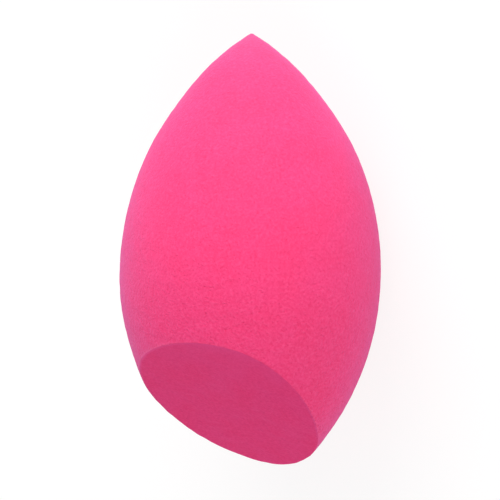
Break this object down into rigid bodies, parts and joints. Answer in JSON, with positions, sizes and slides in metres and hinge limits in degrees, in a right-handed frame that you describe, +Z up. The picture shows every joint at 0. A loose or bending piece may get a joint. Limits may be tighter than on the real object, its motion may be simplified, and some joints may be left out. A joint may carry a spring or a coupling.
{
  "type": "makeup sponge",
  "caption": "Soft foam makeup sponge: a spindle-shaped block with a pointed tip and a flat slanting cut face, lying on its side.",
  "frame": {"origin": "centre of the small flat on the long side, under the widest place, at the height of the table that it lies on", "axes": "+X along the body towards the tip, +Z up; the cut face is at the -X end and looks up and towards -X; the part is the same on both sides of the plane y = 0"},
  "size_m": [0.0655, 0.039, 0.0387],
  "materials": {
    "foam": "matte"
  },
  "bodies": {
    "root": {"sponge_body": "foam"}
  },
  "joints": []
}
